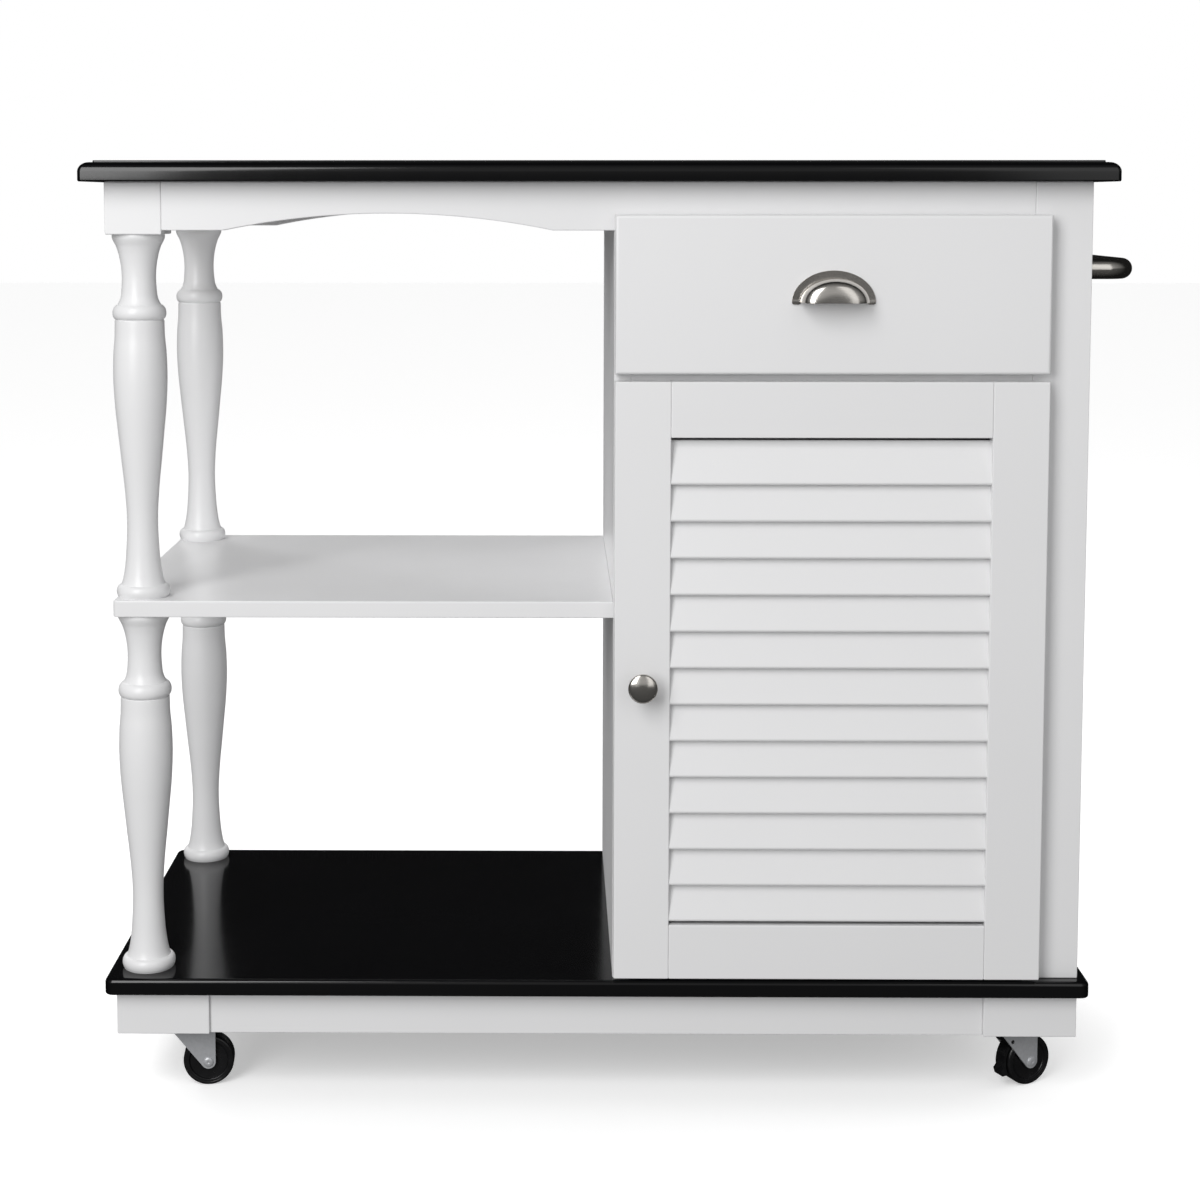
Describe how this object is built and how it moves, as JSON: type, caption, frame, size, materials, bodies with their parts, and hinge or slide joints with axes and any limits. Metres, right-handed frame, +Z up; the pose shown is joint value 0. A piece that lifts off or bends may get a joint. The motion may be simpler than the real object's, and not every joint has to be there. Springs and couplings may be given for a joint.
{
  "type": "kitchen island cart",
  "caption": "Rolling kitchen island cart with open shelves on turned legs, a drawer, a louvred cabinet door and a towel bar.",
  "frame": {"origin": "middle of the whole object's footprint, on the floor", "axes": "+Z up, +X towards the towel bar end, -Y towards the drawer and door fronts"},
  "size_m": [1.015, 0.465, 0.914],
  "materials": {
    "white_paint": "semi-gloss painted wood and board",
    "black_paint": "satin painted board",
    "bare_board": "lacquered plywood",
    "satin_nickel": "brushed nickel plate",
    "zinc_plate": "zinc plated",
    "black_plastic": "moulded nylon",
    "white_plastic": "moulded plastic"
  },
  "bodies": {
    "carcass": {"back_panel": "white_paint", "base_board": "black_paint", "cabinet_runners": "zinc_plate", "cabinet_shelf": "white_paint", "caster_plates": "zinc_plate", "caster_screws": "zinc_plate", "corner_blocks": "white_paint", "front_apron": "white_paint", "front_left_lower_leg": "white_paint", "front_left_upper_leg": "white_paint", "front_right_post": "white_paint", "front_skirt": "white_paint", "hinge_arms": "zinc_plate", "left_apron": "white_paint", "left_cabinet_panel": "white_paint", "left_skirt": "white_paint", "leg_studs": "zinc_plate", "magnetic_catch": "white_plastic", "middle_rail": "white_paint", "middle_shelf": "white_paint", "rear_apron": "white_paint", "rear_left_lower_leg": "white_paint", "rear_left_upper_leg": "white_paint", "rear_right_post": "white_paint", "rear_skirt": "white_paint", "right_side_panel": "white_paint", "right_skirt": "white_paint", "runner_spacer": "bare_board", "shelf_pins": "zinc_plate", "towel_bar": "satin_nickel", "towel_bar_screws": "zinc_plate", "worktop": "black_paint", "worktop_cleats": "bare_board"},
    "drawer": {"drawer_front": "white_paint", "drawer_left_side": "bare_board", "drawer_right_side": "bare_board", "drawer_back": "bare_board", "drawer_bottom": "bare_board", "drawer_runners": "zinc_plate", "cup_pull": "satin_nickel", "cup_pull_screws": "zinc_plate"},
    "door": {"door_left_stile": "white_paint", "door_right_stile": "white_paint", "door_top_rail": "white_paint", "door_bottom_rail": "white_paint", "louvre_slats": "white_paint", "door_knob": "satin_nickel", "knob_screw": "zinc_plate", "hinge_cups": "zinc_plate", "catch_plate": "zinc_plate"},
    "front_left_caster": {"front_left_caster_fork": "zinc_plate"},
    "front_left_wheel": {"front_left_wheel": "black_plastic"},
    "front_right_caster": {"front_right_caster_fork": "zinc_plate"},
    "front_right_wheel": {"front_right_wheel": "black_plastic"},
    "front_right_brake_lever": {"front_right_brake_lever": "black_plastic"},
    "rear_left_caster": {"rear_left_caster_fork": "zinc_plate"},
    "rear_left_wheel": {"rear_left_wheel": "black_plastic"},
    "rear_right_caster": {"rear_right_caster_fork": "zinc_plate"},
    "rear_right_wheel": {"rear_right_wheel": "black_plastic"},
    "rear_right_brake_lever": {"rear_right_brake_lever": "black_plastic"}
  },
  "joints": [
    {"name": "drawer_slide", "type": "slide", "parent": "carcass", "child": "drawer", "axis": [0, -1, 0], "range_m": [0, 0.28]},
    {"name": "door_hinge", "type": "hinge", "parent": "carcass", "child": "door", "pos_m": [0.404, -0.199, 0.4175], "axis": [0, 0, 1], "range_deg": [0, 105]},
    {"name": "front_left_swivel", "type": "hinge", "parent": "carcass", "child": "front_left_caster", "pos_m": [-0.4265, -0.1495, 0.0594], "axis": [0, 0, 1], "continuous": true},
    {"name": "front_left_wheel_spin", "type": "hinge", "parent": "front_left_caster", "child": "front_left_wheel", "pos_m": [-0.40359, -0.14749, 0.025], "axis": [-0.0872, 0.9962, 0], "continuous": true},
    {"name": "front_right_swivel", "type": "hinge", "parent": "carcass", "child": "front_right_caster", "pos_m": [0.3875, -0.1495, 0.0594], "axis": [0, 0, 1], "continuous": true},
    {"name": "front_right_wheel_spin", "type": "hinge", "parent": "front_right_caster", "child": "front_right_wheel", "pos_m": [0.40835, -0.13978, 0.025], "axis": [-0.4226, 0.9063, 0], "continuous": true},
    {"name": "front_right_brake", "type": "hinge", "parent": "front_right_caster", "child": "front_right_brake_lever", "pos_m": [0.3875, -0.1495, 0.0485], "axis": [-0.4226, 0.9063, 0], "range_deg": [0, 20]},
    {"name": "rear_left_swivel", "type": "hinge", "parent": "carcass", "child": "rear_left_caster", "pos_m": [-0.4265, 0.1725, 0.0594], "axis": [0, 0, 1], "continuous": true},
    {"name": "rear_left_wheel_spin", "type": "hinge", "parent": "rear_left_caster", "child": "rear_left_wheel", "pos_m": [-0.404, 0.16772, 0.025], "axis": [0.2079, 0.9781, 0], "continuous": true},
    {"name": "rear_right_swivel", "type": "hinge", "parent": "carcass", "child": "rear_right_caster", "pos_m": [0.3875, 0.1725, 0.0594], "axis": [0, 0, 1], "continuous": true},
    {"name": "rear_right_wheel_spin", "type": "hinge", "parent": "rear_right_caster", "child": "rear_right_wheel", "pos_m": [0.40982, 0.17806, 0.025], "axis": [-0.2419, 0.9703, 0], "continuous": true},
    {"name": "rear_right_brake", "type": "hinge", "parent": "rear_right_caster", "child": "rear_right_brake_lever", "pos_m": [0.3875, 0.1725, 0.0485], "axis": [-0.2419, 0.9703, 0], "range_deg": [0, 20]}
  ]
}
